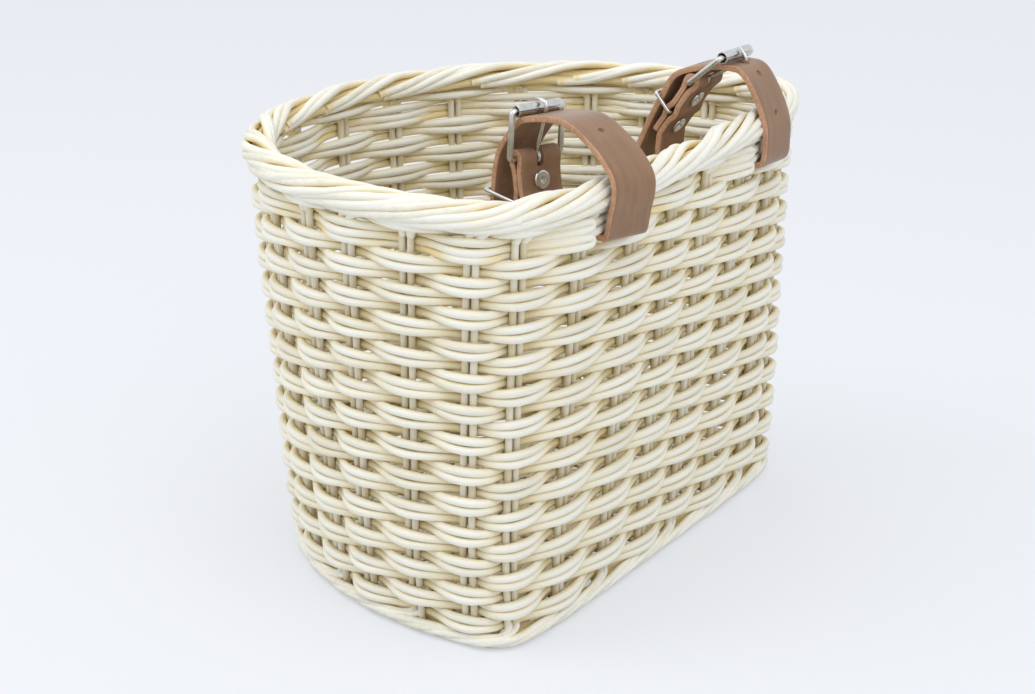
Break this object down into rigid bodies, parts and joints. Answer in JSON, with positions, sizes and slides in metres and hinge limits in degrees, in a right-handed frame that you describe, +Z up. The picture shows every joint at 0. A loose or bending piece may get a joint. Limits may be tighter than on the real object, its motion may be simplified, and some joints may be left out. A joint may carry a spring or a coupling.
{
  "type": "bicycle basket",
  "caption": "Woven rattan handlebar basket, D-shaped with a flat back and a rolled rim, hung from a bar by two leather straps with roller buckles.",
  "frame": {"origin": "middle of the whole part's footprint, on the surface that the basket stands on", "axes": "+Z up, X along the handlebar with +X at the rider's left, +Y out of the flat back wall towards the rider, -Y out of the curved front"},
  "size_m": [0.3374, 0.2416, 0.2469],
  "materials": {
    "rattan": "natural peeled cane, satin",
    "rattan_base": "natural peeled cane, satin",
    "leather": "smooth vegetable-tanned face, raw tan edges",
    "nickel": "nickel-plated, worn bright"
  },
  "bodies": {
    "basket": {"weave_row_01": "rattan", "weave_row_02": "rattan", "weave_row_03": "rattan", "weave_row_04": "rattan", "weave_row_05": "rattan", "weave_row_06": "rattan", "weave_row_07": "rattan", "weave_row_08": "rattan", "weave_row_09": "rattan", "weave_row_10": "rattan", "weave_row_11": "rattan", "weave_row_12": "rattan", "weave_row_13": "rattan", "weave_row_14": "rattan", "weave_row_15": "rattan", "weave_row_16": "rattan", "weave_row_17": "rattan", "weave_row_18": "rattan", "weave_row_19": "rattan", "weave_row_20": "rattan", "weave_row_21": "rattan", "weave_row_22": "rattan", "weave_row_23": "rattan", "weave_row_24": "rattan", "top_wale": "rattan", "left_stakes_and_rim": "rattan", "front_stakes_and_rim": "rattan", "right_stakes_and_rim": "rattan", "back_stakes_and_rim": "rattan", "foot_border": "rattan", "base_weave": "rattan_base", "left_strap": "leather", "left_rivet_upper": "nickel", "left_rivet_lower": "nickel", "right_strap": "leather", "right_rivet_upper": "nickel", "right_rivet_lower": "nickel"},
    "left_buckle": {"left_buckle_frame": "nickel"},
    "left_buckle_roller": {"left_roller": "nickel"},
    "left_buckle_tongue": {"left_tongue": "nickel"},
    "left_tail_keeper": {"left_keeper": "nickel"},
    "right_buckle": {"right_buckle_frame": "nickel"},
    "right_buckle_roller": {"right_roller": "nickel"},
    "right_buckle_tongue": {"right_tongue": "nickel"},
    "right_tail_keeper": {"right_keeper": "nickel"}
  },
  "joints": [
    {"name": "left_buckle_tilt", "type": "hinge", "parent": "basket", "child": "left_buckle", "pos_m": [0.06586, 0.05076, 0.215], "axis": [0.9336, -0.3584, 0], "range_deg": [0, 8]},
    {"name": "left_roller_spin", "type": "hinge", "parent": "left_buckle", "child": "left_buckle_roller", "pos_m": [0.06646, 0.05233, 0.23854], "axis": [0.9336, -0.3584, 0], "continuous": true},
    {"name": "left_tongue_lift", "type": "hinge", "parent": "basket", "child": "left_buckle_tongue", "pos_m": [0.06586, 0.05076, 0.215], "axis": [0.9336, -0.3584, 0], "range_deg": [-2, 0]},
    {"name": "left_keeper_tilt", "type": "hinge", "parent": "basket", "child": "left_tail_keeper", "pos_m": [0.06699, 0.05371, 0.195], "axis": [0.9336, -0.3584, 0], "range_deg": [-5, 5]},
    {"name": "right_buckle_tilt", "type": "hinge", "parent": "basket", "child": "right_buckle", "pos_m": [-0.08399, 0.06795, 0.22755], "axis": [0.9962, -0.0872, 0], "range_deg": [0, 8]},
    {"name": "right_roller_spin", "type": "hinge", "parent": "right_buckle", "child": "right_buckle_roller", "pos_m": [-0.08239, 0.08617, 0.24247], "axis": [0.9962, -0.0872, 0], "continuous": true},
    {"name": "right_tongue_lift", "type": "hinge", "parent": "basket", "child": "right_buckle_tongue", "pos_m": [-0.08399, 0.06795, 0.22755], "axis": [0.9962, -0.0872, 0], "range_deg": [-2, 0]},
    {"name": "right_keeper_tilt", "type": "hinge", "parent": "basket", "child": "right_tail_keeper", "pos_m": [-0.08499, 0.05643, 0.21092], "axis": [0.9962, -0.0872, 0], "range_deg": [-5, 5]}
  ]
}
